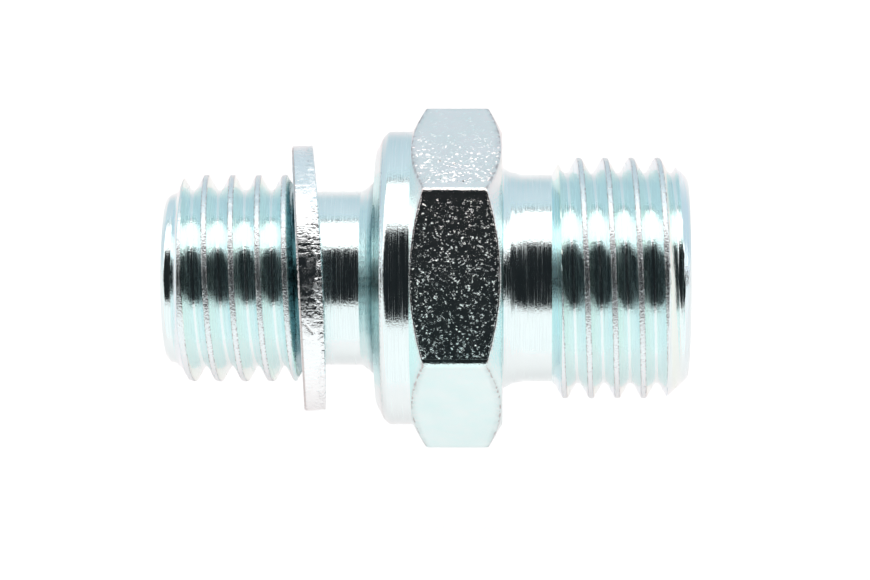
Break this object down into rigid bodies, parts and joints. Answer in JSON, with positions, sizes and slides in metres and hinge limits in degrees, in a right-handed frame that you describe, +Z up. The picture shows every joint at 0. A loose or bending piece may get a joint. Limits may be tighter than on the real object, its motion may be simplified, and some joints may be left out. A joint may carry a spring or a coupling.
{
  "type": "hollow threaded adapter",
  "caption": "Hollow turned steel adapter lying on its hexagon, with a threaded stud, an undercut neck holding a loose sealing washer, a round collar and a larger threaded tube end.",
  "frame": {"origin": "on the axis, in the plane of the collar's sealing face", "axes": "+X along the axis from the stud to the tube end, +Z up through the middle of the hexagon's upper flat, +Y to a hexagon corner"},
  "size_m": [0.0299, 0.0196, 0.017],
  "materials": {
    "zinc_plated_steel": "bright blue-white zinc plating over turned and threaded steel, with a coarse grained hexagon",
    "zinc_plated_washer": "bright blue-white zinc plating over stamped steel, with a torn edge"
  },
  "bodies": {
    "adapter": {"adapter_body": "zinc_plated_steel"},
    "washer": {"captive_washer": "zinc_plated_washer"}
  },
  "joints": [
    {"name": "washer_slide", "type": "slide", "parent": "adapter", "child": "washer", "axis": [1, 0, 0], "range_m": [0, 0.0021]}
  ]
}
